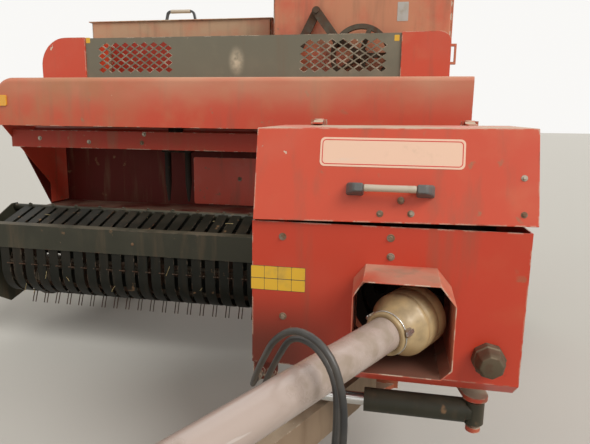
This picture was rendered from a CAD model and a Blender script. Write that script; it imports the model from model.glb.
# %% [markdown]
# # Dressing a towed hay baler
# The packed model gives every solid its place and its motion. This lesson adds what a paint shop, a
# few harvests and a dusty shed add to the real machine: worn paint, bolts, hoses, wire tines and
# stray hay. All lengths are in metres, X runs to the machine's left, Y to its rear and Z up.

# %% Load the packed model
import math
import random

import bpy
from mathutils import Matrix, Vector


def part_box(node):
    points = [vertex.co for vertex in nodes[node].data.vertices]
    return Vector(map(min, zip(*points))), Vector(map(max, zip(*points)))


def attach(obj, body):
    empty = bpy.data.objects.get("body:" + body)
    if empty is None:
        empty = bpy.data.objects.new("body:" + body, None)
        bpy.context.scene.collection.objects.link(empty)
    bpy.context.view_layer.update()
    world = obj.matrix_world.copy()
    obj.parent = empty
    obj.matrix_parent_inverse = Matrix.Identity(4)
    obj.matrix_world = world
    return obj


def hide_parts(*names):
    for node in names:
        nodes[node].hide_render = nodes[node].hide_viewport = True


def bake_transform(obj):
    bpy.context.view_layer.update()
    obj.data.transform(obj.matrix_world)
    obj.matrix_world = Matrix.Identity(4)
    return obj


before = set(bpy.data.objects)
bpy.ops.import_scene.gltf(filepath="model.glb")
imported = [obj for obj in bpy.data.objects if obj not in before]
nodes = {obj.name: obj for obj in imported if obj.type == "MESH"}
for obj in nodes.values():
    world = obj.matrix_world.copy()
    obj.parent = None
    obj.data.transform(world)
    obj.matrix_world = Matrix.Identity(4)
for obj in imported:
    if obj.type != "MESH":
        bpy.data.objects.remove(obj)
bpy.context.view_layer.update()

# %% [markdown]
# ## Camera
# A photograph fixes where the eye was. Straight edges of the drive housing and the beam gave the
# lens and the three turns: left or right, down, and a slight roll. Building the matrix from its
# three axes shows what each turn does.

# %% Place the camera
camera_spot = Vector((0.653, -2.410, 1.174))
yaw, pitch, roll = (math.radians(angle) for angle in (-10.71, -10.32, 0.87))
ahead = Vector((math.sin(yaw) * math.cos(pitch), math.cos(yaw) * math.cos(pitch), math.sin(pitch)))
level_right = Vector((math.cos(yaw), -math.sin(yaw), 0))
level_up = level_right.cross(ahead)
right = math.cos(roll) * level_right + math.sin(roll) * level_up
up = math.cos(roll) * level_up - math.sin(roll) * level_right



def in_scene(name, data):
    """A new object that shows this data in the scene."""
    piece = bpy.data.objects.new(name, data)
    bpy.context.scene.collection.objects.link(piece)
    return piece


camera = in_scene("camera", bpy.data.cameras.new("camera"))
camera.data.sensor_width = 36
camera.data.lens = 31.66
camera.data.clip_end = 800
camera_turn = Matrix((right, up, -ahead)).transposed().to_4x4()
camera.matrix_world = Matrix.Translation(camera_spot) @ camera_turn
bpy.context.scene.camera = camera
print("camera looks along", [round(value, 3) for value in ahead])

# %% [markdown]
# ## Light and floor
# The shed is lit by daylight through wide doors, so the light is broad and soft. A sun lamp with a
# wide angle lights the floor evenly as far as it goes, which a lamp nearby can't. The strongest one
# stands high at the machine's left, so that shadows fall down and to its right. Two weaker ones
# stand in front and at the back, and the world fills in.

# %% Lamps
bpy.context.scene.view_settings.view_transform = "Standard"


def soft_sun(name, origin, strength, spread):
    """Parallel light from origin's side, whose shadows are soft over spread degrees."""
    lamp = in_scene(name, bpy.data.lights.new(name, "SUN"))
    lamp.data.energy = strength
    lamp.data.angle = math.radians(spread)
    lamp.location = origin
    lamp.rotation_euler = (-Vector(origin)).to_track_quat("-Z", "Y").to_euler()


soft_sun("door_sun", (6.0, -4.2, 6.5), 2.3, 32)
soft_sun("front_sun", (-3.0, -6.0, 3.5), 0.55, 85)
soft_sun("rear_sun", (1.0, 7.0, 6.0), 0.7, 60)

# %% [markdown]
# ## Shader arithmetic
# A worn finish is mostly arithmetic on noise: where two masks meet, one minus a mask, a mask to a
# power. Python's operators read better than boxes and wires, so a small class wraps a socket and
# makes a Math node for each operator. Its partner makes any other node and hands back the output.


# %% Numbers that vary over a surface
class Level:
    """The output of a node, with Python's arithmetic."""

    def __init__(self, finish, socket):
        self.finish = finish
        self.socket = socket

    def math(self, operation, first, second=0.0):
        return self.finish.add("ShaderNodeMath", {"operation": operation}, {0: first, 1: second})

    def __add__(self, other):
        return self.math("ADD", self, other)

    def __sub__(self, other):
        return self.math("SUBTRACT", self, other)

    def __mul__(self, other):
        return self.math("MULTIPLY", self, other)

    def __pow__(self, other):
        return self.math("POWER", self, other)

    def __rsub__(self, other):
        return self.math("SUBTRACT", other, self)

    __radd__ = __add__
    __rmul__ = __mul__

    def between(self, low, high):
        """0 up to low, 1 from high, and a soft step between them."""
        return self.finish.add("ShaderNodeMapRange", {"interpolation_type": "SMOOTHSTEP"},
                               {"Value": self, "From Min": low, "From Max": high})


# %% [markdown]
# ## A finish and its nodes
# Every finish starts from the Principled shader and from the place of each point on the machine.
# Noise laid out in those places runs on from one solid to the next, as weather and dust do, and it
# needs no unwrapping. The helpers below are the masks that nearly every worn surface needs: clouds,
# surfaces that look up, and rubbed edges.


# %% A finish that is being made
class Finish:
    """A material that is being made."""

    def __init__(self, name):
        self.material = bpy.data.materials.new(name)
        self.material.use_nodes = True
        self.shader = self.material.node_tree.nodes["Principled BSDF"]
        self.place = self.add("ShaderNodeTexCoord", output="Object")

    def add(self, kind, settings=(), sockets=(), output=0):
        """A node of this kind with these settings and sockets, as the Level of one output."""
        node = self.material.node_tree.nodes.new(kind)
        for name, value in dict(settings).items():
            setattr(node, name, value)
        for name, value in dict(sockets).items():
            if isinstance(value, Level):
                self.material.node_tree.links.new(value.socket, node.inputs[name])
            else:
                node.inputs[name].default_value = value
        return Level(self, node.outputs[output])

    def feed(self, name, value):
        """Sets a socket of the surface shader to a number, a colour or a Level."""
        if isinstance(value, Level):
            self.material.node_tree.links.new(value.socket, self.shader.inputs[name])
        else:
            self.shader.inputs[name].default_value = value

    def noise(self, scale, detail=4.0, stretch=(1, 1, 1), shift=0.0):
        """Cloudy noise; stretch above 1 along an axis makes it finer there."""
        spot = self.add("ShaderNodeMapping", {}, {"Vector": self.place, "Scale": stretch,
                                                  "Location": (shift, shift, shift)})
        return self.add("ShaderNodeTexNoise", {},
                        {"Vector": spot, "Scale": scale, "Detail": detail})

    def mixed(self, mask, under, over):
        """The colour under, covered by the colour over where mask is 1."""
        return self.add("ShaderNodeMix", {"data_type": "RGBA"}, {0: mask, 6: under, 7: over}, 2)

    def axis(self, vector, letter):
        """One coordinate of a vector."""
        return self.add("ShaderNodeSeparateXYZ", {}, {"Vector": vector}, letter)

    def facing_up(self):
        """1 on surfaces that look up, 0 on upright ones and below."""
        normal = self.add("ShaderNodeNewGeometry", output="Normal")
        return self.axis(normal, "Z").between(0.35, 0.95)

    def edges(self, radius):
        """1 along outer and inner edges, from how a rounded edge would turn the surface."""
        flat = self.add("ShaderNodeNewGeometry", output="Normal")
        rounded = self.add("ShaderNodeBevel", {"samples": 4}, {"Radius": radius})
        same = self.add("ShaderNodeVectorMath", {"operation": "DOT_PRODUCT"}, {0: flat, 1: rounded},
                        "Value")
        return (1 - same).between(0.01, 0.12)

    def bumped(self, height, strength, depth):
        """Feeds the Normal socket with a bump of that height."""
        self.feed("Normal", self.add("ShaderNodeBump", {}, {"Height": height, "Strength": strength,
                                                            "Distance": depth}))


print("finishes are made with", [name for name in vars(Finish) if not name.startswith("_")])

# %% [markdown]
# ## Paint that has stood outside
# Old red paint fades to a chalky orange in clouds, gathers straw-coloured dust where it faces up,
# keeps rust-brown stains, and is rubbed through at its edges. Each of these is one mask, laid over
# the one before, in the order in which they happened to the machine.

# %% Worn paint
dust_colour = (0.50, 0.40, 0.28, 1)
rust_colour = (0.11, 0.045, 0.02, 1)


def worn_paint(name, fresh, faded, fading=0.5, dust=0.5, chips=0.5, grime=0.3, gloss=0.42,
               shine=0.5, stains=(), bare_colour=(0.60, 0.50, 0.38, 1)):
    """Sheet-metal paint: fresh colour, faded in clouds, grimy, dusty on top, chipped at its edges.

    Each stain is a function that gives its mask on the finish, and its colour. Chips show
    bare_colour and rust in turn."""
    finish = Finish(name)
    finish.feed("Specular IOR Level", shine)
    clouds = finish.noise(1.7, 5)
    fine = finish.noise(9.0, 6, shift=3.1)
    faded_mask = (clouds * 0.6 + fine * 0.4).between(0.62 - 0.25 * fading, 0.80 - 0.25 * fading)
    colour = finish.mixed(faded_mask * 0.85, fresh, faded)
    streaks = finish.noise(3.2, 6, stretch=(6, 6, 0.7), shift=7.7)
    grime_mask = streaks.between(0.52, 0.78) * grime
    colour = finish.mixed(grime_mask, colour, (0.16, 0.10, 0.055, 1))
    blots = finish.noise(21, 3, shift=1.3).between(0.66, 0.74)
    blots = blots * finish.noise(3.5, 2, shift=5.5).between(0.45, 0.62)
    colour = finish.mixed(blots * 0.7, colour, (0.26, 0.15, 0.075, 1))
    dust_mask = finish.facing_up() * finish.noise(6.5, 5, shift=9.2).between(0.25, 0.6) * dust
    film = finish.noise(4.2, 5, shift=2.4).between(0.40, 0.75) * 0.22 * dust
    colour = finish.mixed((dust_mask + film).between(0, 1), colour, dust_colour)
    for mask_of, stain_colour in stains:
        colour = finish.mixed(mask_of(finish), colour, stain_colour)
    rubbed = finish.edges(0.006)
    grain = finish.noise(26, 5, shift=4.4)
    worn_edge = rubbed * grain.between(0.60 - 0.22 * chips, 0.70 - 0.14 * chips)
    flakes = finish.noise(48, 3, shift=6.1).between(0.71, 0.74)
    flakes = flakes * finish.noise(5, 2).between(0.5, 0.64)
    bare = (worn_edge + flakes * chips).between(0.1, 0.6)
    colour = finish.mixed(bare, colour,
                          finish.mixed(fine.between(0.36, 0.5), rust_colour, bare_colour))
    finish.feed("Base Color", colour)
    finish.feed("Roughness", gloss + faded_mask * 0.16 + (dust_mask + film) * 0.35)
    dents = finish.noise(2.6, 2, shift=8.8) * 0.9
    finish.bumped(dents + fine * 0.06 - bare * 0.12, 0.35, 0.008)
    return finish.material


print("dust", dust_colour[:3], "rust", rust_colour[:3])

# %% [markdown]
# ## Marks of one place
# Some stains belong to a single spot: sun on the beam's top, oil round the hose ports, grease on
# the cowl's floor, a rubbed patch on the guard. Each is a mask worked out from the height and the
# width at which a point lies, so it needs no picture.


# %% Masks of the marks
def bleached_top(finish):
    """Haze that thickens towards the top of the front beam."""
    height = finish.axis(finish.place, "Z")
    haze = finish.noise(2.1, 4, stretch=(1, 1, 2), shift=11).between(0.3, 0.7)
    return height.between(1.20, 1.41) * (0.36 + 0.5 * haze)


def brown_side(finish):
    """Brown film on the part of the front beam that lies towards the machine's right."""
    along = finish.axis(finish.place, "X")
    film = finish.noise(4.5, 5, shift=12).between(0.35, 0.65)
    return (1 - along.between(-0.78, -0.42)) * (0.18 + 0.5 * film)


def sooty_corner(finish):
    """Oily shade round the hose ports, fading upwards and towards the cowl."""
    height, along = finish.axis(finish.place, "Z"), finish.axis(finish.place, "X")
    return (1 - height.between(0.58, 0.80)) * (1 - along.between(0.38, 0.60)) * 0.95


def oily_floor(finish):
    """Grease and dirt that collect on the floor of the cowl."""
    height = finish.axis(finish.place, "Z")
    return finish.facing_up() * (1 - height.between(0.66, 0.70)) * 0.75


def worn_spot(finish):
    """A pale rubbed patch in the middle of the mesh guard, taller than it is wide."""
    height, along = finish.axis(finish.place, "Z") - 1.505, finish.axis(finish.place, "X") + 0.168
    reach = ((height * height) * 0.35 + along * along) ** 0.5
    return (1 - reach.between(0.0, 0.052)) * finish.noise(30, 3, shift=3.7).between(0.15, 0.6)


marks = (bleached_top, brown_side, sooty_corner, oily_floor, worn_spot)
print("marks on the paint:", [mark.__name__ for mark in marks])

# %% [markdown]
# ## The machine's paints
# One red was sprayed on the whole machine, but each part has aged in its own way: the beam is
# bleached along its top, the boxes are chalky all over, the feeder's inside is nearly black with
# old juice, and the grey guard and the black pick-up were painted apart. So one recipe is mixed
# many times. After the fresh and the faded colour come how faded, dusty, chipped and grimy the
# paint is, and where it matters its roughness and its shine.

# %% Paints
red = (0.53, 0.045, 0.016, 1)
chalky_red = (0.57, 0.130, 0.058, 1)
dark_steel = (0.11, 0.085, 0.06, 1)
lid_red = worn_paint("lid_red", (0.56, 0.064, 0.024, 1), chalky_red, 0.35, 0.8, 0.9, 0.35)
plate_red = worn_paint("plate_red", red, (0.52, 0.085, 0.032, 1), 0.35, 0.5, 0.8, 0.4,
                       stains=((sooty_corner, (0.10, 0.018, 0.009, 1)),))
cowl_red = worn_paint("cowl_red", (0.50, 0.09, 0.05, 1), (0.56, 0.19, 0.11, 1), 0.9, 0.4, 0.7, 0.6,
                      stains=((oily_floor, (0.09, 0.042, 0.028, 1)),))
beam_red = worn_paint("beam_red", (0.55, 0.058, 0.022, 1), (0.53, 0.125, 0.055, 1), 0.45, 0.5, 0.6,
                      0.35,
                      stains=((bleached_top, (0.56, 0.28, 0.165, 1)),
                              (brown_side, (0.40, 0.17, 0.075, 1))))
box_red = worn_paint("box_red", (0.55, 0.125, 0.06, 1), (0.53, 0.23, 0.12, 1), 0.9, 0.8, 0.5, 0.4)
pale_box_red = worn_paint("pale_box_red", (0.50, 0.21, 0.11, 1), (0.47, 0.31, 0.185, 1), 0.95, 0.9,
                          0.5, 0.4)
inner_red = worn_paint("inner_red", (0.10, 0.010, 0.006, 1), (0.09, 0.019, 0.011, 1), 0.5, 0.3, 0.4,
                       0.6, 0.55, 0.2, bare_colour=dark_steel)
rail_red = worn_paint("rail_red", (0.33, 0.030, 0.013, 1), (0.28, 0.055, 0.026, 1), 0.5, 0.3, 0.6,
                      0.6, 0.5, 0.3)
rubbed_red = worn_paint("rubbed_red", (0.66, 0.085, 0.045, 1), (0.62, 0.17, 0.11, 1), 0.5, 0.2, 0.3,
                        0.5, 0.4, 0.5)
chassis_red = worn_paint("chassis_red", (0.43, 0.045, 0.017, 1), (0.41, 0.125, 0.055, 1), 0.7, 0.9,
                         0.8, 0.6, 0.5)
mesh_grey = worn_paint("mesh_grey", (0.142, 0.130, 0.088, 1), (0.20, 0.175, 0.12, 1), 0.6, 0.7, 0.6,
                       0.4, 0.5, stains=((worn_spot, (0.56, 0.48, 0.34, 1)),))
bar_grey = worn_paint("bar_grey", (0.032, 0.031, 0.020, 1), (0.048, 0.045, 0.030, 1), 0.5, 0.2, 0.5,
                      0.3, 0.48, 0.25, bare_colour=dark_steel)
band_black = worn_paint("band_black", (0.0075, 0.008, 0.0052, 1), (0.016, 0.0135, 0.009, 1), 0.6,
                        0.08, 0.3, 0.1, 0.45, 0.18, bare_colour=dark_steel)
sooty_black = worn_paint("sooty_black", (0.016, 0.012, 0.009, 1), (0.026, 0.019, 0.013, 1), 0.6,
                         0.1, 0.3, 0.4, 0.6, 0.15, bare_colour=dark_steel)
drawbar_beige = worn_paint("drawbar_beige", (0.22, 0.15, 0.092, 1), (0.29, 0.205, 0.13, 1), 0.8,
                           0.7, 0.5, 0.6, 0.6)
rim_cream = worn_paint("rim_cream", (0.55, 0.50, 0.40, 1), (0.48, 0.42, 0.33, 1), 0.5, 0.8, 0.7,
                       0.6, 0.45)
print("paints",
      [m.name for m in bpy.data.materials if m.name.endswith(("red", "grey", "beige", "cream"))])

# %% [markdown]
# ## Metal
# Bare steel is grey where something rubs it and brown everywhere else. One mask of noise decides
# which, and feeds colour, metal and gloss together, because rust is neither shiny nor a metal to
# the light. After the bright and the rusty colour come the share of rust, the roughness and the
# dust.


# %% Bare and cast metal
def bare_steel(name, bright, rusty, rust_share=0.5, rough=0.36, dust=0.3):
    """Steel that shines where it is rubbed and rusts elsewhere."""
    finish = Finish(name)
    rust = finish.noise(7, 6) * 0.6 + finish.noise(40, 4, shift=2.2) * 0.4
    rust = rust.between(0.60 - 0.25 * rust_share, 0.72 - 0.2 * rust_share)
    colour = finish.mixed(rust, bright,
                          finish.mixed(finish.noise(60, 3, shift=5.1), rust_colour, rusty))
    dusty = finish.facing_up() * 0.8 + 0.2
    dusty = dusty * finish.noise(8, 5, shift=7.5).between(0.35, 0.7) * dust
    finish.feed("Base Color", finish.mixed(dusty, colour, dust_colour))
    finish.feed("Metallic", 0.9 - rust * 0.75 - dusty * 0.15)
    finish.feed("Roughness", rough + rust * 0.4 + dusty * 0.2)
    finish.bumped(finish.noise(90, 4, shift=1.9) * 0.4 + rust * 0.5, 0.3, 0.001)
    return finish.material


worked_steel = bare_steel("worked_steel", (0.42, 0.40, 0.37, 1), (0.22, 0.11, 0.05, 1), 0.5, 0.36,
                          0.4)
rod_steel = bare_steel("rod_steel", (0.60, 0.59, 0.57, 1), (0.25, 0.14, 0.07, 1), 0.05, 0.2, 0.15)
bolt_steel = bare_steel("bolt_steel", (0.34, 0.30, 0.24, 1), (0.20, 0.12, 0.06, 1), 0.7, 0.45, 0.6)
cast_metal = bare_steel("cast_metal", (0.13, 0.10, 0.065, 1), (0.095, 0.055, 0.028, 1), 0.6, 0.6,
                        0.3)
tine_steel = bare_steel("tine_steel", (0.075, 0.062, 0.045, 1), (0.05, 0.03, 0.018, 1), 0.8, 0.5,
                        0.2)
print("metals", [m.name for m in bpy.data.materials if m.name.endswith(("steel", "metal"))])

# %% [markdown]
# ## Rubber
# Rubber is nearly black under a film of dust, and the tyre also has fine cuts between its ribs.
# They are a bump that is worked out from the angle and the radius round the wheel's centre, so they
# stay even.


# %% Rubber
def soft_black(name, colour, dust, rough=0.5, pattern=0.0):
    """Rubber under a film of dust."""
    finish = Finish(name)
    film = (finish.facing_up() * 0.5 + 0.5) * finish.noise(11, 6).between(0.30, 0.72) * dust
    finish.feed("Base Color", finish.mixed(film, colour, (0.33, 0.27, 0.20, 1)))
    finish.feed("Roughness", rough + film * 0.35)
    finish.bumped(finish.noise(140, 3, shift=3.3), 0.12 + pattern, 0.001)
    return finish.material


hose_black = soft_black("hose_black", (0.020, 0.020, 0.020, 1), 0.28, 0.36)
hard_black = soft_black("hard_black", (0.035, 0.036, 0.038, 1), 0.35, 0.42)


def tyre_finish(name, centre, tread):
    """Tyre rubber round the wheel's centre (y, z), with shallow cuts at the radius tread."""
    finish = Finish(name)
    y = finish.axis(finish.place, "Y") - centre[0]
    z = finish.axis(finish.place, "Z") - centre[1]
    turn = finish.add("ShaderNodeMath", {"operation": "ARCTAN2"}, {0: y, 1: z})
    radius = (y * y + z * z) ** 0.5
    wave = finish.add("ShaderNodeMath", {"operation": "SINE"}, {0: turn * 96})
    cuts = wave.between(0.72, 0.9) * radius.between(tread - 0.035, tread - 0.02)
    rings = finish.add("ShaderNodeMath", {"operation": "SINE"}, {0: radius * 520})
    rings = rings.between(0.6, 0.95)
    wall = 1 - radius.between(tread - 0.06, tread - 0.045)
    dusty = finish.noise(7, 6).between(0.30, 0.68) * 0.55 + cuts * 0.25
    finish.feed("Base Color", finish.mixed(dusty, (0.026, 0.025, 0.024, 1), (0.30, 0.25, 0.18, 1)))
    finish.feed("Roughness", 0.62 + dusty * 0.3)
    finish.bumped(rings * wall * 0.35 - cuts + finish.noise(150, 3) * 0.15, 0.5, 0.003)
    return finish.material


print("rubber", hose_black.name, hard_black.name)

# %% [markdown]
# ## Scuffed plastic
# The guard tube of the drive shaft, the grips and the plates are smooth plastic. Things that slide
# along it leave pale scratches, which long stretched noise gives, and dirt dries on it in patches.
# After the clean and the dirty colour come the roughness and the share of dirt.


# %% Plastic
def scuffed_plastic(name, colour, dirt, rough=0.34, dirt_share=0.4, scuff=(0.62, 0.58, 0.54, 1)):
    """Smooth moulded plastic with scuffs and patches of dry dirt."""
    finish = Finish(name)
    patches = finish.noise(4.5, 6) * 0.55 + finish.noise(24, 5, shift=2.9) * 0.45
    patches = patches.between(0.58 - 0.2 * dirt_share, 0.74 - 0.2 * dirt_share)
    scratches = finish.noise(5, 5, stretch=(1, 1, 9), shift=6.6).between(0.66, 0.72)
    colour = finish.mixed(scratches * 0.35, colour, scuff)
    finish.feed("Base Color", finish.mixed(patches * 0.75, colour, dirt))
    finish.feed("Roughness", rough + patches * 0.4 + scratches * 0.1)
    finish.bumped(finish.noise(70, 4, shift=8.1) * 0.3 + patches * 0.3, 0.2, 0.001)
    return finish.material


tube_grey = scuffed_plastic("tube_grey", (0.43, 0.34, 0.29, 1), (0.27, 0.205, 0.145, 1), 0.2, 0.5)
bell_beige = scuffed_plastic("bell_beige", (0.46, 0.325, 0.165, 1), (0.23, 0.165, 0.088, 1), 0.3,
                             0.6, (0.50, 0.40, 0.24, 1))
grip_cream = scuffed_plastic("grip_cream", (0.52, 0.44, 0.34, 1), (0.34, 0.27, 0.19, 1), 0.3, 0.3)
grip_grey = scuffed_plastic("grip_grey", (0.10, 0.10, 0.095, 1), (0.20, 0.15, 0.11, 1), 0.45, 0.4,
                            (0.24, 0.22, 0.20, 1))
label_cream = scuffed_plastic("label_cream", (0.82, 0.54, 0.39, 1), (0.55, 0.38, 0.25, 1), 0.4,
                              0.25)
label_yellow = scuffed_plastic("label_yellow", (0.72, 0.42, 0.03, 1), (0.48, 0.30, 0.06, 1), 0.4,
                               0.2)
label_grey = scuffed_plastic("label_grey", (0.45, 0.42, 0.38, 1), (0.36, 0.30, 0.22, 1), 0.5, 0.4)
reflector_amber = scuffed_plastic("reflector_amber", (0.75, 0.36, 0.03, 1), (0.45, 0.28, 0.06, 1),
                                  0.2, 0.2)
cap_red = scuffed_plastic("cap_red", (0.62, 0.03, 0.02, 1), (0.35, 0.14, 0.08, 1), 0.35, 0.3)
hay_straw = scuffed_plastic("hay_straw", (0.60, 0.47, 0.22, 1), (0.38, 0.27, 0.11, 1), 0.7, 0.5,
                            (0.68, 0.56, 0.30, 1))
print(len(bpy.data.materials), "finishes")

# %% [markdown]
# ## Dress the solids
# The packed solids keep their shape. Three modifiers make them look folded and cast instead of cut
# with a knife: Weld joins the corners that the file format split, Bevel rounds every edge sharper
# than 32 degrees, and Weighted Normal lights the flats between them evenly.

# %% Which solid takes which finish
finish_of = {
    plate_red: ("front_guard", "hitch_eye"),
    cowl_red: ("pto_cowl",),
    rail_red: ("feeder_rails",),
    sooty_black: ("bulkhead", "flywheel", "packer_forks"),
    beam_red: ("front_beam",),
    lid_red: ("front_lid", "guard_hoods"),
    box_red: ("tall_box", "tall_box_door"),
    pale_box_red: ("low_box", "low_box_lid"),
    inner_red: ("feed_table", "upper_supports"),
    chassis_red: ("bale_chamber", "main_frame", "front_member", "axle_beam", "stub_axles",
                  "bale_chute", "density_beams", "hinge_leaves", "needle_guard"),
    mesh_grey: ("mesh_guard",),
    bar_grey: ("pickup_crossbar", "pickup_frame", "shaft_cradle", "hose_holder", "swing_barrel"),
    band_black: ("pickup_bands",),
    drawbar_beige: ("drawbar", "jack_tube"),
    rim_cream: ("rim_left", "rim_right"),
    worked_steel: ("plunger", "needle_yoke", "knotter_shaft", "metering_wheel", "density_screws",
                   "jack_leg", "drive_shaft"),
    tine_steel: ("pickup_reel", "feeder_crank", "feeder_wheel"),
    rod_steel: ("swing_rod", "hose_couplings"),
    grip_grey: ("lid_handle",),
    hard_black: ("low_box_grip",),
    cast_metal: ("gearbox", "knotters"),
    hose_black: ("hose_long", "hose_short"),
    tube_grey: ("guard_tube", "front_guard_tube"),
    bell_beige: ("pto_bell",),
}
axle_y, axle_z = 1.0, 0.38
tyre_rubber = tyre_finish("tyre_rubber", (axle_y, axle_z), axle_z)
gauge_rubber = tyre_finish("gauge_rubber", (0.32, 0.275), 0.12)
finish_of[tyre_rubber] = ("tyre_left", "tyre_right")
finish_of[gauge_rubber] = ("gauge_wheel",)

print(len(finish_of), "finishes for", len(nodes), "solids")

# %% Dress them
edge_rounds = {"front_lid": 0.003, "front_guard": 0.0015, "pto_cowl": 0.0015, "front_beam": 0.0015,
               "tall_box": 0.0015, "low_box": 0.0015, "gearbox": 0.004, "drawbar": 0.006,
               "lid_handle": 0.003}
for material, names in finish_of.items():
    for name in names:
        solid = nodes[name]
        solid.data.materials.clear()
        solid.data.materials.append(material)
        for polygon in solid.data.polygons:
            polygon.use_smooth = True
        solid.modifiers.new("joined corners", "WELD").merge_threshold = 0.00002
        rounded = solid.modifiers.new("rounded edges", "BEVEL")
        rounded.limit_method = "ANGLE"
        rounded.angle_limit = math.radians(32)
        rounded.width = edge_rounds.get(name, 0.001)
        rounded.segments = 2
        rounded.use_clamp_overlap = True
        rounded.harden_normals = True
        solid.modifiers.new("even shading", "WEIGHTED_NORMAL").keep_sharp = True
undressed = sorted(set(nodes) - {name for names in finish_of.values() for name in names})
print("solids without a finish:", undressed)

# %% [markdown]
# ## Helpers for small pieces
# Bolts, plates and wires come in dozens. Each helper returns a finished object that is already tied
# to the body of the machine on which it rides, so that it moves with it.


# %% Meshes, tubes and turned pieces
def settle(piece, body, material, smooth=True):
    """Gives a piece its finish and its body."""
    piece.data.materials.append(material)
    if smooth:
        piece.data.shade_smooth()
    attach(piece, body)
    return piece


def mesh_piece(name, points, faces, body, material, slot, smooth=False, place=Matrix()):
    """A piece of these points and faces, moved to place."""
    mesh = bpy.data.meshes.new(name)
    mesh.from_pydata([tuple(place @ Vector(point)) for point in points], [], faces)
    mesh.validate()
    return settle(in_scene(name, mesh), body, material, smooth)


def curve_mesh(name, routes, radius, sides):
    """Round wires along several routes of control points, as one mesh."""
    curve = bpy.data.curves.new(name, "CURVE")
    curve.dimensions = "3D"
    curve.bevel_depth = radius
    curve.bevel_resolution = sides
    curve.use_fill_caps = True
    for points in routes:
        spline = curve.splines.new("NURBS")
        spline.points.add(len(points) - 1)
        for knot, point in zip(spline.points, points):
            knot.co = (*point, 1)
        spline.order_u = 3
        spline.use_endpoint_u = True
        spline.resolution_u = 4
    holder = bpy.data.objects.new(name, curve)
    mesh = bpy.data.meshes.new_from_object(holder)
    bpy.data.objects.remove(holder)
    return mesh


def wires(name, routes, radius, body, material, sides=2):
    """A piece of round wires along several routes."""
    return settle(in_scene(name, curve_mesh(name, routes, radius, sides)), body, material)


def turned(profile, place, steps):
    """Points and faces of a profile of (radius, height) turned round place's own Z."""
    points = []
    for step in range(steps):
        angle = 2 * math.pi * step / steps
        points += [place @ Vector((radius * math.cos(angle), radius * math.sin(angle), height))
                   for radius, height in profile]
    count = len(profile)
    faces = [(step * count + row, ((step + 1) % steps) * count + row,
              ((step + 1) % steps) * count + row + 1, step * count + row + 1)
             for step in range(steps) for row in range(count - 1)]
    return points, faces


def facing(spot, direction):
    """A place at spot whose own Z looks along direction."""
    turn = Vector(direction).to_track_quat("Z", "Y").to_matrix().to_4x4()
    return Matrix.Translation(Vector(spot)) @ turn


# %% [markdown]
# ## Sheet metal of the drive housing
# The lid is a folded hood whose front leans back. Sheet metal is easiest as surfaces without
# thickness: each fold is an edge, the Solidify modifier gives the sheet its gauge, and Bevel gives
# the folds their small radius.


# %% Folded sheets
def folded_sheet(name, points, faces, gauge, body, material, fold=0.002, fold_steps=2):
    """Sheet metal of this gauge behind the given faces, with rounded folds."""
    piece = mesh_piece(name, points, faces, body, material, "red_paint")
    solid = piece.modifiers.new("gauge", "SOLIDIFY")
    solid.thickness, solid.offset, solid.use_even_offset = gauge, -1, True
    rounded = piece.modifiers.new("folds", "BEVEL")
    rounded.limit_method, rounded.width, rounded.segments = "ANGLE", fold, fold_steps
    rounded.harden_normals = True
    piece.data.shade_smooth()
    return piece


lid_foot = Vector((0, -1.110, 0.949))
lid_lean = math.radians(13.9)
lid_out = Vector((0, -math.cos(lid_lean), math.sin(lid_lean)))
lid_face = Matrix(((1, 0, 0, 0),
                   (0, 1, math.tan(lid_lean), lid_foot.y - lid_foot.z * math.tan(lid_lean)),
                   (0, 0, 1, 0), (0, 0, 0, 1)))


def on_lid(x, z):
    """A point on the leaning front of the lid."""
    return lid_face @ Vector((x, 0, z))


lid_right, lid_left, lid_back = 0.292, 0.994, -0.700
hood_points = [on_lid(lid_right + 0.003, 0.936), on_lid(lid_right, 1.172),
               (lid_right, lid_back, 1.182), (lid_right, lid_back, 0.942),
               on_lid(lid_left + 0.005, 0.949), on_lid(lid_left, 1.180),
               (lid_left, lid_back, 1.189), (lid_left, lid_back, 0.952)]
lid_hood = folded_sheet("lid_hood", hood_points,
                        [(0, 4, 5, 1), (1, 5, 6, 2), (0, 1, 2, 3), (4, 7, 6, 5)], 0.003,
                        "front_lid", lid_red)
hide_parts("front_lid")
print("lid leans", round(math.degrees(lid_lean), 1), "degrees")

# %% [markdown]
# ## Ears of the lid's hinge
# Two ears carry the lid: an eye round the hinge pin, and a strap that is bent over the lid's back
# edge. The eye is a turned ring and the strap a short prism, because little more than their outline
# is ever seen.

# %% Eyes and straps
hinge_spot = Vector((0, -0.664, 1.192))
half_ear = 0.015
eye_profile = [(0.0062, -half_ear), (0.012, -half_ear), (0.012, half_ear), (0.0062, half_ear),
               (0.0062, -half_ear)]
strap = ((-0.745, 1.1915), (-0.745, 1.187), (-0.700, 1.1865), (-0.672, 1.183), (-0.672, 1.200),
         (-0.690, 1.1935))
count = len(strap)
strap_faces = [tuple(range(count)), tuple(reversed(range(count, 2 * count)))]
strap_faces += [(index, count + index, count + (index + 1) % count, (index + 1) % count)
                for index in range(count)]
for ear_x in (0.400, 0.880):
    eye = turned(eye_profile, facing(hinge_spot + Vector((ear_x, 0, 0)), (1, 0, 0)), 24)
    mesh_piece(f"lid_ear_{ear_x}", *eye, "front_lid", lid_red, "red_paint", smooth=True)
    ends = [(ear_x + side, y, z) for side in (-half_ear, half_ear) for y, z in strap]
    mesh_piece(f"lid_strap_{ear_x}", ends, strap_faces, "front_lid", lid_red, "red_paint")
print("straps of", count, "corners")

# %% [markdown]
# ## Cowl round the drive shaft
# The plate below the lid has an opening with eight sides, and a cowl of the same outline reaches
# forward from it. The opening could be cut out with a Boolean, but two rings of points joined by
# faces keep the sheet's edges clean.

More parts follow.
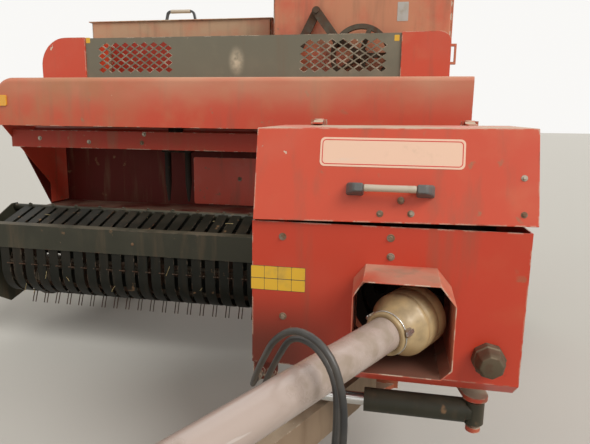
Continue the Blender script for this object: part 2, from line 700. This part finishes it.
# %% Plate with its eight-sided opening, and the cowl
plate_face = -1.1012
cowl_right, cowl_left, cowl_low, cowl_high = 0.566, 0.806, 0.594, 0.828
opening = [(cowl_right + 0.024, cowl_low), (cowl_right, cowl_low + 0.024),
           (cowl_right, cowl_high - 0.037), (cowl_right + 0.029, cowl_high),
           (cowl_left - 0.036, cowl_high), (cowl_left, cowl_high - 0.044),
           (cowl_left, cowl_low + 0.024), (cowl_left - 0.024, cowl_low)]
rim = [(0.590, 0.532), (0.290, 0.532), (0.290, 0.640), (0.290, 0.800), (0.290, 0.931),
       (0.600, 0.931), (0.770, 0.931), (0.990, 0.931), (0.990, 0.800), (0.990, 0.640),
       (0.990, 0.532), (0.780, 0.532)]
rim_of = ((0, 1, 2), (2, 3), (3, 4, 5), (5, 6), (6, 7, 8), (8, 9), (9, 10, 11), (11, 0))
plate_points = [(x, plate_face, z) for x, z in opening + rim]
plate_faces = [tuple([side] + [8 + corner for corner in corners] + [(side + 1) % 8])
               for side, corners in enumerate(rim_of)]
folded_sheet("front_sheet", plate_points, [tuple(reversed(face)) for face in plate_faces], 0.001,
             "frame", plate_red, 0.0004, 1)
mouth = [(min(max(x, cowl_right + 0.007), cowl_left - 0.001), z + (0.006 if z < 0.7 else -0.006))
         for x, z in opening]
mouth_y, inner_y = -1.241, -0.985
cowl_points = ([(x, mouth_y, z) for x, z in mouth] + [(x, plate_face, z) for x, z in opening]
               + [(x, inner_y, z) for x, z in opening])
cowl_faces = [(ring * 8 + side, ring * 8 + (side + 1) % 8, ring * 8 + 8 + (side + 1) % 8,
               ring * 8 + 8 + side) for ring in range(2) for side in range(8)]
cowl = folded_sheet("cowl", cowl_points, [tuple(reversed(face)) for face in cowl_faces], 0.003,
                    "frame", cowl_red, 0.0015)
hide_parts("pto_cowl")
print("cowl", round(cowl_left - cowl_right, 3), "wide at the plate")

# %% [markdown]
# ## Bolts with washers
# Every sheet of the housing is held by hexagon bolts on round washers. A washer is a turned
# profile, and a head is four rings of six points. The heads are twisted by chance, because no two
# bolts stop at the same angle. Their chances are seeded with the name of the piece, so that each
# run gives the same bolts.


# %% Bolts with washers
def joined(shapes):
    """Points and faces of several shapes, as one shape."""
    points, faces = [], []
    for new_points, new_faces in shapes:
        start = len(points)
        points += new_points
        faces += [tuple(start + index for index in face) for face in new_faces]
    return points, faces


def hexagon_head(place, size, twist):
    """A bolt's head that stands on place; size is its width across the flats."""
    rings = ((0.577, 0.13), (0.577, 0.56), (0.50, 0.66), (0.20, 0.66))
    points = [place @ Vector((size * radius * math.cos(twist + side * math.pi / 3),
                              size * radius * math.sin(twist + side * math.pi / 3), size * height))
              for radius, height in rings for side in range(6)]
    faces = [(ring * 6 + side, ring * 6 + (side + 1) % 6, (ring + 1) * 6 + (side + 1) % 6,
              (ring + 1) * 6 + side) for ring in range(len(rings) - 1) for side in range(6)]
    faces.append(tuple((len(rings) - 1) * 6 + side for side in range(6)))
    return points, faces


def bolt_heads(name, places, direction, size, body, material=bolt_steel):
    """Hexagon heads on round washers, all looking along direction."""
    shapes = []
    twists = random.Random(name)
    washer = [(0.0, 0.0), (size * 0.95, 0.0), (size * 0.98, size * 0.06), (size * 0.9, size * 0.14),
              (size * 0.4, size * 0.15)]
    for spot in places:
        place = facing(spot, direction)
        shapes += [turned(washer, place, 20),
                   hexagon_head(place, size, twists.uniform(0, math.pi / 3))]
    return mesh_piece(name, *joined(shapes), body, material, "bare_steel")


lid_bolts = bolt_heads("lid_bolts", [on_lid(0.623, 0.964), on_lid(0.699, 0.967)], lid_out, 0.009,
                       "front_lid")
bolt_heads("lid_corner_bolts", [on_lid(0.962, 1.062), on_lid(0.964, 0.976)], lid_out, 0.008,
           "front_lid")
plate_bolts = bolt_heads("plate_bolts", [(0.373, plate_face, 0.891), (0.653, plate_face, 0.902),
                                         (0.655, plate_face, 0.853), (0.376, plate_face, 0.671)],
                         (0, -1, 0), 0.0105, "frame")
print("housing bolts", len(lid_bolts.data.polygons) + len(plate_bolts.data.polygons), "faces")

# %% [markdown]
# ## Cast cap
# A cast cap with eight flats closes the housing at its lower left. Turning a profile with eight
# steps gives the flats, and two dark holes take the spanner that opens it.

# %% Cap with eight flats
cap_x, cap_z, cap_height = 0.910, 0.604, 0.0605
cap_twist = Matrix.Rotation(math.radians(10), 4, "Z")
cap_place = facing((cap_x, plate_face, cap_z), (0, -1, 0)) @ cap_twist
cap_profile = [(0.0425, 0.0), (0.0425, 0.021), (0.0385, 0.024), (0.036, 0.046), (0.028, 0.0600),
               (0.0, cap_height)]
cast_cap = mesh_piece("cast_cap", *turned(cap_profile, cap_place, 8), "frame", cast_metal,
                      "red_paint")
soft_cap = cast_cap.modifiers.new("cast edges", "BEVEL")
soft_cap.limit_method, soft_cap.width, soft_cap.segments = "ANGLE", 0.003, 3
cast_cap.data.shade_smooth()
for turn in (200, 330):
    side = Vector((math.cos(math.radians(turn)), 0, math.sin(math.radians(turn))))
    hole_spot = Vector((cap_x, plate_face - 0.050, cap_z)) + 0.0375 * side + Vector((0, -0.0012, 0))
    hole_points, hole_faces = turned([(0.0, 0.0), (0.0045, 0.0)],
                                     facing(hole_spot, side + Vector((0, -0.35, 0))), 16)
    mesh_piece(f"cap_hole_{turn}", hole_points, [tuple(reversed(face)) for face in hole_faces],
               "frame", hard_black, "red_paint")
print("cap stands out", cap_height)

# %% [markdown]
# ## Plates and labels
# The lid carries a cream plate with a red line round its edge, the housing a yellow strip in four
# panels, the tall box a small grey plate and the beam an amber reflector. A thin slab with rounded
# corners catches light along its rim as a real sticker or plate does, which a painted-on colour
# can't.


# %% Rounded plates
def on_circle(x, z, radius, turn):
    """The point at turn degrees on a circle round (x, z)."""
    return (x + radius * math.cos(math.radians(turn)), z + radius * math.sin(math.radians(turn)))


def rounded_outline(x0, x1, z0, z1, radius):
    """Points round a rectangle whose corners are arcs of six steps."""
    corners = ((x1 - radius, z1 - radius, 0), (x0 + radius, z1 - radius, 90),
               (x0 + radius, z0 + radius, 180), (x1 - radius, z0 + radius, 270))
    return [on_circle(x, z, radius, start + 15 * step) for x, z, start in corners
            for step in range(7)]


def front_slab(name, outline, y, thickness, body, material, slot, place=Matrix()):
    """A flat slab with this outline of (x, z), which stands proud of the plane at y."""
    count = len(outline)
    points = [(x, y, z) for x, z in outline] + [(x, y - thickness, z) for x, z in outline]
    faces = [tuple(range(count, 2 * count)), tuple(reversed(range(count)))]
    faces += [(index, (index + 1) % count, count + (index + 1) % count, count + index)
              for index in range(count)]
    return mesh_piece(name, points, faces, body, material, slot, False, place)


def front_band(name, outer, inner, y, thickness, body, material, slot, place):
    """A thin frame between two outlines with the same number of points."""
    count = len(outer)
    points = [(x, depth, z) for depth in (y, y - thickness) for ring in (outer, inner)
              for x, z in ring]
    faces = []
    for index in range(count):
        after = (index + 1) % count
        faces += [(2 * count + index, 3 * count + index, 3 * count + after, 2 * count + after),
                  (index, 2 * count + index, 2 * count + after, after),
                  (count + index, count + after, 3 * count + after, 3 * count + index)]
    return mesh_piece(name, points, faces, body, material, slot, False, place)


print("an outline has", len(rounded_outline(0, 1, 0, 1, 0.1)), "points")

# %% Lid plate
lid_plate_thickness = 0.0008
front_slab("lid_plate", rounded_outline(0.463, 0.824, 1.078, 1.151, 0.012), 0, lid_plate_thickness,
           "front_lid", label_cream, "red_paint", lid_face)
front_band("lid_plate_line", rounded_outline(0.468, 0.819, 1.083, 1.146, 0.010),
           rounded_outline(0.4702, 0.8168, 1.0852, 1.1438, 0.008), -lid_plate_thickness, 0.0003,
           "front_lid", cap_red, "red_paint", lid_face)
print("lid plate", lid_plate_thickness, "thick")

# %% Yellow strip, box plate and reflector
strip_thickness = 0.0006
panel_width, panel_step, first_panel = 0.0360, 0.0371, 0.2875
for panel in range(4):
    panel_x = first_panel + panel * panel_step
    for row, (low, high) in enumerate(((0.743, 0.7735), (0.7755, 0.808))):
        front_slab(f"yellow_panel_{panel}_{row}",
                   rounded_outline(panel_x, panel_x + panel_width, low, high, 0.002),
                   plate_face - strip_thickness, 0.0004, "frame", label_yellow, "red_paint")
front_slab("yellow_strip", rounded_outline(0.2865, 0.4355, 0.742, 0.809, 0.002), plate_face,
           strip_thickness, "frame", hard_black, "red_paint")
front_slab("tall_box_plate", rounded_outline(0.631, 0.685, 1.705, 1.796, 0.004), 0.370, 0.001,
           "frame", label_grey, "red_paint")
front_slab("beam_reflector", rounded_outline(-1.372, -1.318, 1.262, 1.316, 0.008), -0.004, 0.007,
           "frame", reflector_amber, "red_paint")
print("strip of", panel + 1, "panels in two rows")

# %% [markdown]
# ## Grips
# The lid's grip is a cream tube between two dark moulded ends. The tube is turned once and slightly
# waisted. The ends have a flat foot, a rounded shoulder and a screw each, made from stacked rounded
# sections. A cube with bevels could stand in for them, but it has the same roundness everywhere,
# which moulded plastic never has.


# %% Lid grip
def stacked(sections):
    """Faces joining outlines with the same number of points, closed at both ends."""
    count = len(sections[0])
    points = [point for section in sections for point in section]
    faces = [tuple(reversed(range(count))),
             tuple(range((len(sections) - 1) * count, len(sections) * count))]
    for ring in range(len(sections) - 1):
        faces += [(ring * count + index, ring * count + (index + 1) % count,
                   (ring + 1) * count + (index + 1) % count, (ring + 1) * count + index)
                  for index in range(count)]
    return points, faces


grip_right, grip_left, grip_z = 0.535, 0.755, 1.022
grip_place = Matrix.Translation(on_lid(0, grip_z)) @ Matrix.Rotation(-lid_lean, 4, "X")
end_sections = ((0.000, 0.000, 0.045, 0.016, 0.006), (0.007, 0.001, 0.045, 0.0155, 0.006),
                (0.018, 0.003, 0.045, 0.0145, 0.006), (0.030, 0.009, 0.045, 0.0130, 0.006),
                (0.041, 0.018, 0.045, 0.0115, 0.005), (0.045, 0.024, 0.043, 0.0090, 0.004))
for side, edge in ((1, grip_right), (-1, grip_left)):
    sections = []
    for reach, start, stop, half, radius in end_sections:
        xs = sorted((edge + side * start, edge + side * stop))
        sections.append([(x, -reach, z)
                         for x, z in rounded_outline(xs[0], xs[1], -half, half, radius)])
    grip_end = mesh_piece(f"grip_end_{'right' if side > 0 else 'left'}", *stacked(sections),
                          "front_lid", grip_grey, "bare_steel", False, grip_place)
    softened = grip_end.modifiers.new("soft edges", "BEVEL")
    softened.width, softened.segments = 0.0012, 2
grip_profile = [(0.0, 0.0), (0.0082, 0.0), (0.0092, 0.003), (0.0088, 0.030), (0.0086, 0.064),
                (0.0088, 0.098), (0.0092, 0.125), (0.0082, 0.128), (0.0, 0.128)]
tube = turned(grip_profile, grip_place @ facing((0.581, -0.034, 0), (1, 0, 0)), 32)
grip_tube = mesh_piece("grip_tube", *tube, "front_lid", grip_cream, "bare_steel", smooth=True)
latch_profile = [(0, 0), (0.009, 0), (0.009, 0.008), (0.0065, 0.010), (0.0065, 0.019),
                 (0.004, 0.021), (0, 0.021)]
latch = turned(latch_profile, facing(on_lid(0.673, 0.998), lid_out), 24)
mesh_piece("lid_latch", *latch, "front_lid", bolt_steel, "bare_steel", smooth=True)
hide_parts("lid_handle")
bolt_heads("grip_screws", [grip_place @ Vector((x, -0.011, 0)) for x in (0.543, 0.747)], lid_out,
           0.0065, "front_lid")
print("grip spans", round(grip_left - grip_right, 3))

# %% Sleeve on the low box's grip
box_grip_low, box_grip_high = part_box("low_box_grip")
sleeve_profile = [(0.0, -0.672), (0.0098, -0.672), (0.0108, -0.669), (0.0104, -0.612),
                  (0.0108, -0.555), (0.0098, -0.552), (0.0, -0.552)]
sleeve_spot = (0, (box_grip_low.y + box_grip_high.y) / 2, box_grip_high.z - 0.006)
sleeve = turned(sleeve_profile, facing(sleeve_spot, (1, 0, 0)), 32)
mesh_piece("low_box_grip_tube", *sleeve, "low_box_lid", grip_cream, "bare_steel", smooth=True)
print("sleeve", round(sleeve_profile[-1][1] - sleeve_profile[0][1], 3), "long")

# %% [markdown]
# ## Inside of the feeder
# A folded rail runs under the front beam, a bolted wear plate covers the middle of the rear wall,
# and a sheet lines the end wall. The rail is one profile of points, swept straight across the
# machine; the flat plates are slabs.


# %% Rail, wear plate and end sheet
def swept_sheet(name, profile, x0, x1, gauge, body, material, fold=0.002):
    """A sheet whose profile of (y, z) runs straight across the machine from x0 to x1."""
    count = len(profile)
    points = [(x, y, z) for x in (x0, x1) for y, z in profile]
    faces = [(row, row + 1, count + row + 1, count + row) for row in range(count - 1)]
    return folded_sheet(name, points, faces, gauge, body, material, fold)


rail_front, rail_back, rail_low, rail_high = 0.0965, 0.128, 1.050, 1.141
swept_sheet("front_rail", [(rail_back, rail_high), (rail_front, rail_high), (rail_front, rail_low),
                           (rail_back, rail_low)], -1.390, 0.370, 0.003, "frame", rail_red)
wall_face, plate_thickness = 0.5838, 0.005
front_slab("wear_plate", rounded_outline(-0.543, 0.280, 0.706, 0.989, 0.012), wall_face,
           plate_thickness, "frame", rubbed_red, "red_paint")
swept_sheet("plate_fold", [(wall_face, 1.010), (wall_face, 0.706)], -0.585, -0.548, 0.004, "frame",
            inner_red)
end_outline = [(0.560, 1.164), (0.560, 0.706), (0.392, 0.706), (0.392, 0.824), (0.030, 1.164)]
end_wall = Matrix(((0, 1, 0, -1.386), (1, 0, 0, 0), (0, 0, 1, 0), (0, 0, 0, 1)))
front_slab("end_sheet", end_outline, 0, 0.003, "frame", rubbed_red, "red_paint", end_wall)
rail_bolt_places = ((-1.218, 1.098), (-0.930, 1.083), (-0.617, 1.128), (-0.630, 1.084))
bolt_heads("rail_bolts", [(x, rail_front, z) for x, z in rail_bolt_places], (0, -1, 0), 0.012,
           "frame")
bolt_heads("wear_bolts", [(-0.253, wall_face - plate_thickness, 0.865)], (0, -1, 0), 0.014, "frame")
print("rail", round(rail_high - rail_low, 3), "high")

# %% [markdown]
# ## Pan behind the reel
# A curved pan behind the tined reel keeps the crop from falling through. Its profile is an arc
# round the reel's axis, a little wider than the circle of the tines. Beside the gauge wheel only
# its upper half is left, so that the wheel can turn.

# %% Pan
reel_y, reel_z, pan_radius = 0.085, 0.415, 0.235
pan_top = (0.156, 0.693)
pan_arc = [on_circle(reel_y, reel_z, pan_radius, turn) for turn in range(74, -66, -7)]
pan_profile = [pan_top, *pan_arc]
swept_sheet("reel_pan", list(reversed(pan_profile)), -1.300, 0.268, 0.002, "pickup", band_black,
            0.0005)
over_gauge_wheel = [(0.3195, 0.404), *reversed(pan_profile[:12])]
swept_sheet("pan_end", over_gauge_wheel, -1.405, -1.300, 0.002, "pickup", band_black, 0.0005)
print("pan of", len(pan_profile), "points")

# %% [markdown]
# ## Rear bar of the pick-up
# The bands end on a round bar in front of the pan, and every second one shows its bolt there. The
# bar is turned like every round piece.

# %% Rear bar and its bolts
first_band, band_pitch, band_count = -1.315, 0.070, 23
bar_y, bar_z = 0.112, 0.718
bar = turned([(0, -1.412), (0.0172, -1.412), (0.0172, 0.283), (0, 0.283)],
             facing((0, bar_y, bar_z), (1, 0, 0)), 32)
mesh_piece("rear_bar", *bar, "pickup", bar_grey, "bare_steel", smooth=True)
bolt_heads("crossbar_bolts", [(-0.592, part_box("pickup_crossbar")[0].y, 0.598)], (0, -1, 0), 0.008,
           "pickup")
band_bolts = bolt_heads("band_bolts",
                        [(first_band + band_pitch * count, bar_y - 0.005, bar_z + 0.0165)
                         for count in range(0, band_count, 2)], (0, -0.35, 1), 0.012, "pickup",
                        bar_grey)
print(len(band_bolts.data.polygons), "faces of bolts")

# %% [markdown]
# ## Hoods at the guard's ends
# Two folded hoods close the ends of the mesh guard. Each is one outline with a rounded corner, and
# a rim that runs back along every side but the lowest one, where the hood stands on the beam. A
# dark sheet lies behind the mesh, and two yellow marks are stuck on near its upper edge.


# %% Hoods and yellow marks
def guard_hood(name, outline, front, back):
    """A hood whose front has this outline of (x, z), and whose rim reaches to back in y."""
    count = len(outline)
    points = [(x, y, z) for y in (front, back) for x, z in outline]
    faces = [tuple(range(count))]
    faces += [(index, count + index, count + index + 1, index + 1) for index in range(count - 1)]
    return folded_sheet(name, points, faces, 0.0025, "frame", lid_red)


hood_low, hood_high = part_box("guard_hoods")
guard_low, guard_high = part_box("mesh_guard")


def corner(x, z, radius, start):
    """Points of a rounded corner whose centre is (x, z)."""
    return [on_circle(x, z, radius, start + 6 * step) for step in range(16)]


right_end, right_round = -1.280, 0.150
left_end, left_round = 0.890, 0.055
right_outline = ([(guard_low.x, hood_low.z), (guard_low.x, hood_high.z)]
                 + corner(right_end + right_round, hood_high.z - right_round, right_round, 90)
                 + [(right_end, hood_low.z)])
left_outline = ([(left_end, hood_low.z)]
                + corner(left_end - left_round, hood_high.z - left_round, left_round, 0)
                + [(guard_high.x, hood_high.z), (guard_high.x, hood_low.z)])
right_hood = guard_hood("right_hood", right_outline, hood_low.y, 0.484)
guard_hood("left_hood", left_outline, hood_low.y, 0.362)
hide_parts("guard_hoods")
swept_sheet("guard_shade", [(0.488, 1.655), (0.488, 1.412)], -1.000, -0.300, 0.002, "frame",
            rail_red)
for mark_x, mark_z in ((-1.000, 1.619), (0.636, 1.606)):
    mark = rounded_outline(mark_x - 0.012, mark_x + 0.012, mark_z - 0.014, mark_z + 0.014, 0.003)
    front_slab(f"guard_mark_{mark_x}", mark, guard_low.y, 0.0006, "frame", label_yellow,
               "red_paint")
print("hoods", round(hood_high.z - hood_low.z, 3), "high")

# %% [markdown]
# ## Bell of the drive shaft
# The moulded bell hides the universal joint. It is a turned shape with a groove round its rim, a
# shoulder and a collar. Turning a fine profile gives the soft highlights that a coarse cone lacks.

# %% Turn the bell
shaft_yaw, shaft_drop = math.radians(31.6), math.radians(3.8)
shaft_start = Vector((0.716, -1.142, 0.713))
shaft_axis = Vector((-math.sin(shaft_yaw) * math.cos(shaft_drop),
                     -math.cos(shaft_yaw) * math.cos(shaft_drop), -math.sin(shaft_drop)))
shaft_place = facing(shaft_start, shaft_axis)
bell_profile = [(0.0735, -0.0250), (0.0770, -0.0250), (0.0780, -0.0235), (0.0780, 0.0080),
                (0.0772, 0.0095), (0.0772, 0.0125), (0.0780, 0.0140), (0.0780, 0.0430),
                (0.0765, 0.0450), (0.0742, 0.0465), (0.0735, 0.0490), (0.0742, 0.0520),
                (0.0765, 0.0540), (0.0778, 0.0560), (0.0780, 0.0600), (0.0768, 0.0655),
                (0.0735, 0.0705), (0.0680, 0.0780), (0.0620, 0.0870), (0.0570, 0.0960),
                (0.0540, 0.1040), (0.0530, 0.1080), (0.0530, 0.1130), (0.0512, 0.1145),
                (0.0512, 0.1205), (0.0525, 0.1220), (0.0522, 0.1270), (0.0495, 0.1290),
                (0.0412, 0.1290), (0.0412, 0.1130), (0.0640, 0.0700), (0.0735, 0.0560),
                (0.0735, -0.0250)]
turned_bell = turned(bell_profile, shaft_place, 96)
bell = mesh_piece("bell", *turned_bell, "pto_shaft", bell_beige, "bell_plastic", smooth=True)
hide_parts("pto_bell")
print("bell faces", len(bell.data.polygons))

# %% [markdown]
# ## Latches and clip of the bell
# Two latches lock the bell, and a wire clip runs round its collar. Each latch is three thin slabs,
# a seat, a tongue and a slot, laid out flat and then put on the collar by a matrix of three axes:
# round the shaft, outward and along it.

# %% Latches and clip
collar_radius = 0.0530


def on_shaft(along, radius, angle):
    """A point at a distance along the shaft, a radius from its axis and an angle round it."""
    return shaft_place @ Vector((radius * math.cos(angle), radius * math.sin(angle), along))


side_of_shaft = Vector((0, 0, 1)).cross(shaft_axis).normalized()
top_of_shaft = shaft_axis.cross(side_of_shaft)
for turn in (14, 152):
    cosine, sine = math.cos(math.radians(turn)), math.sin(math.radians(turn))
    outward = cosine * side_of_shaft + sine * top_of_shaft
    around = cosine * top_of_shaft - sine * side_of_shaft
    latch_place = Matrix((around, -outward, shaft_axis)).transposed().to_4x4()
    latch_place.translation = shaft_start + shaft_axis * 0.112 + outward * collar_radius
    front_slab(f"bell_latch_{turn}", rounded_outline(-0.0095, 0.0095, -0.0120, 0.0100, 0.003), 0,
               0.0045, "pto_shaft", bolt_steel, "bell_plastic", latch_place)
    front_slab(f"bell_tongue_{turn}", rounded_outline(-0.0050, 0.0050, -0.0180, 0.0130, 0.002),
               -0.0045, 0.0020, "pto_shaft", rod_steel, "bell_plastic", latch_place)
    front_slab(f"bell_slot_{turn}", rounded_outline(-0.0045, 0.0045, -0.0245, -0.0165, 0.002),
               -0.0035, 0.0012, "pto_shaft", hard_black, "bell_plastic", latch_place)
clip_turn = math.radians(-52)
clip = [on_shaft(0.1175, collar_radius, clip_turn + math.radians(step))
        for step in range(0, 361, 15)]
wires("bell_clip", [clip], 0.0016, "pto_shaft", rod_steel)
print("clip of", len(clip), "points")

# %% [markdown]
# ## Spring tines
# Each tine of the pick-up is one wire: it is wound round its bar and reaches out between two bands,
# bent back a little. A NURBS route gives the wire its even bends, and all the wires of one bar
# become a single mesh.

# %% Reel with its tines
bar_circle, tip_circle, coil_radius, wire_radius = 0.112, 0.222, 0.0155, 0.0027
reel_right, reel_left = -1.409, 0.280
bar_turns = [math.radians(-105 + 90 * bar) for bar in range(4)]
windings = [(step, math.cos(step * math.pi / 4), math.sin(step * math.pi / 4))
            for step in range(0, 17, 2)]
reel_routes = []
for turn in bar_turns:
    bar_spot = Vector((0, reel_y + bar_circle * math.cos(turn),
                       reel_z + bar_circle * math.sin(turn)))
    out = Vector((0, math.cos(turn), math.sin(turn)))
    across = Vector((0, -math.sin(turn), math.cos(turn)))
    for count in range(band_count - 1):
        middle = bar_spot + Vector((first_band + (count + 0.5) * band_pitch, 0, 0))
        for side in (-1, 1):
            coil = [middle + Vector((side * (0.004 + 0.0045 * step / 8), 0, 0))
                    + coil_radius * (cosine * across - sine * out)
                    for step, cosine, sine in windings]
            root = middle + Vector((side * 0.009, 0, 0))
            reel_routes.append(coil
                               + [root + 0.017 * across + 0.02 * out,
                                  root + 0.014 * across + 0.055 * out,
                                  root + 0.010 * across + tip_circle * 0.38 * out,
                                  root + 0.008 * across + (tip_circle - bar_circle) * out])
tines = wires("reel_tines", reel_routes, wire_radius, "pickup_reel", tine_steel,
              sides=1)
print("tines", len(reel_routes), "wires,", len(tines.data.polygons), "faces")

# %% [markdown]
# ## Body of the reel
# The tines' bars run through five discs on one tube. Tube, bars and discs are turned shapes about
# the machine's width, and they become one mesh, because they turn as one.

# %% Tube, bars and discs
shapes = [turned([(0, reel_right), (0.030, reel_right), (0.030, reel_left), (0, reel_left)],
                 facing((0, reel_y, reel_z), (1, 0, 0)), 40)]
for turn in bar_turns:
    bar_place = facing((0, reel_y + bar_circle * math.cos(turn),
                        reel_z + bar_circle * math.sin(turn)), (1, 0, 0))
    shapes.append(turned([(0, -1.38), (0.0115, -1.38), (0.0115, 0.251), (0, 0.251)], bar_place, 20))
disc_profile = [(0.03, -0.004), (0.114, -0.004), (0.117, -0.002), (0.117, 0.002), (0.114, 0.004),
                (0.03, 0.004)]
for disc_x in (-1.360, -0.960, -0.565, -0.170, 0.231):
    shapes.append(turned(disc_profile, facing((disc_x, reel_y, reel_z), (1, 0, 0)), 48))
reel = mesh_piece("reel_body", *joined(shapes), "pickup_reel", tine_steel, "bare_steel")
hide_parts("pickup_reel")
print("reel of", len(shapes), "turned shapes")

# %% [markdown]
# ## Hoses
# Two hydraulic hoses leave the ports under the housing, arch over the guard tube and end in
# couplings parked on the drawbar. Each is one NURBS spline whose control points are the route's
# corners, so its bends are even. The hose is then a mesh tube, because only a mesh can bend between
# the frame and the swinging drawbar.

# %% Hose routes
hose_radius = 0.007
hose_routes = {
    "hose_long": ((0.312, -1.104, 0.500), (0.312, -1.180, 0.500), (0.338, -1.263, 0.559),
                  (0.368, -1.338, 0.626), (0.403, -1.407, 0.697), (0.438, -1.474, 0.766),
                  (0.495, -1.537, 0.820), (0.560, -1.575, 0.798), (0.588, -1.589, 0.722),
                  (0.590, -1.598, 0.632), (0.582, -1.606, 0.542), (0.556, -1.618, 0.462),
                  (0.498, -1.648, 0.408), (0.420, -1.678, 0.390), (0.342, -1.702, 0.392),
                  (0.262, -1.702, 0.392)),
    "hose_short": ((0.342, -1.104, 0.500), (0.342, -1.176, 0.500), (0.368, -1.257, 0.559),
                   (0.398, -1.329, 0.627), (0.432, -1.396, 0.698), (0.469, -1.457, 0.769),
                   (0.525, -1.509, 0.779), (0.569, -1.541, 0.731), (0.574, -1.552, 0.650),
                   (0.570, -1.566, 0.570), (0.552, -1.580, 0.494), (0.512, -1.598, 0.432),
                   (0.450, -1.622, 0.400), (0.384, -1.640, 0.390), (0.324, -1.650, 0.392),
                   (0.262, -1.650, 0.392)),
}


def line_of(route):
    """Points of the route's smooth line, read from a curve with no thickness."""
    mesh = curve_mesh("route", [route], 0.0, 3)
    points = [vertex.co.copy() for vertex in mesh.vertices]
    bpy.data.meshes.remove(mesh)
    return points


for name, route in hose_routes.items():
    centre_line = line_of(route)
    hose = in_scene(f"{name}_tube", curve_mesh(name, [route], hose_radius, 5))
    hose.data.materials.append(hose_black)
    hose.data.shade_smooth()
    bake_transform(hose)
    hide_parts(name)

# %% [markdown]
# ## Nuts at the hose ports
# Each hose is screwed to its port by a nut. Turned in six steps, a profile gives the nut's flats.

# %% Nuts
nut_profile = [(0.0072, 0.0), (0.0125, 0.0), (0.0130, 0.0015), (0.0130, 0.015), (0.0122, 0.017),
               (0.0098, 0.018), (0.0098, 0.034), (0.0072, 0.036)]
for route in hose_routes.values():
    port_x = route[0][0]
    nut = turned(nut_profile, facing(route[0], (0, -1, 0)), 6)
    mesh_piece(f"hose_nut_{port_x}", *nut, "frame", bolt_steel, "bare_steel")
print(len(hose_routes), "nuts")

# %% [markdown]
# ## Stray hay
# A few dry stalks hang between the bands. Each is a thin NURBS wire with a bend or two. A seeded
# generator places them, so that every run gives the same stalks.

# %% Stalks on the pick-up
straw_dice = random.Random(11)
stalks = []
front_depths, top_depths, top_height = (-0.114, -0.113), (0.02, 0.06), 0.700
for count in range(14):
    start = Vector((straw_dice.uniform(-1.30, 0.26), straw_dice.choice(front_depths + top_depths),
                    0))
    start.z = straw_dice.uniform(0.32, 0.50) if start.y < 0 else top_height
    lean = Vector((straw_dice.uniform(-0.5, 0.5), -0.04, straw_dice.uniform(-0.9, -0.2)))
    if start.y > 0:
        lean = Vector((straw_dice.uniform(-1, 1), straw_dice.uniform(-0.6, 0.4), 0.05))
    reach = straw_dice.uniform(0.03, 0.08)
    bend = Vector([straw_dice.uniform(-0.008, 0.008) for axis in range(3)])
    stalks.append([start, start + lean * reach * 0.5 + bend, start + lean * reach])
wires("stray_hay", stalks, 0.0008, "pickup", hay_straw, sides=0)
print(len(stalks), "stalks")

# %% [markdown]
# ## Floor and background
# The floor is one large plain slab of pale concrete. The world shows a nearly white background to
# the camera and to shiny surfaces, and a softer light to everything else.

# %% Floor and world
floor_finish = Finish("pale_floor")
floor_finish.feed("Base Color", (0.50, 0.48, 0.43, 1))
floor_finish.feed("Roughness", 0.85)
floor_mesh = bpy.data.meshes.new("floor")
floor_reach = 400
floor_corners = [(floor_reach * x, floor_reach * y, 0)
                 for x, y in ((-1, -1), (1, -1), (1, 1), (-1, 1))]
floor_mesh.from_pydata(floor_corners, [], [(0, 1, 2, 3)])
floor = in_scene("floor", floor_mesh)
floor.data.materials.append(floor_finish.material)
floor.location.z = -0.0005

world = bpy.data.worlds.new("shed_daylight")
bpy.context.scene.world = world
world.use_nodes = True
background = world.node_tree.nodes["Background"]
background.inputs["Color"].default_value = (0.95, 0.91, 0.87, 1)
background.inputs["Strength"].default_value = 0.42
seen = world.node_tree.nodes.new("ShaderNodeBackground")
seen.inputs["Color"].default_value = (0.95, 0.94, 0.92, 1)
rays = world.node_tree.nodes.new("ShaderNodeLightPath")
choice = world.node_tree.nodes.new("ShaderNodeMixShader")
wire = world.node_tree.links.new
shown = rays.outputs["Is Camera Ray"]
for ray in ("Is Glossy Ray", "Is Transmission Ray"):
    either = world.node_tree.nodes.new("ShaderNodeMath")
    either.operation = "MAXIMUM"
    wire(shown, either.inputs[0])
    wire(rays.outputs[ray], either.inputs[1])
    shown = either.outputs[0]
wire(shown, choice.inputs["Fac"])
wire(background.outputs[0], choice.inputs[1])
wire(seen.outputs[0], choice.inputs[2])
wire(choice.outputs[0], world.node_tree.nodes["World Output"].inputs["Surface"])
print("world", world.name)

# %% [markdown]
# ## Sizes and the last check
# The dressed machine may stand only a little proud of the solids. Both boxes are written down to be
# compared, and the last call checks that every piece rides on a body.
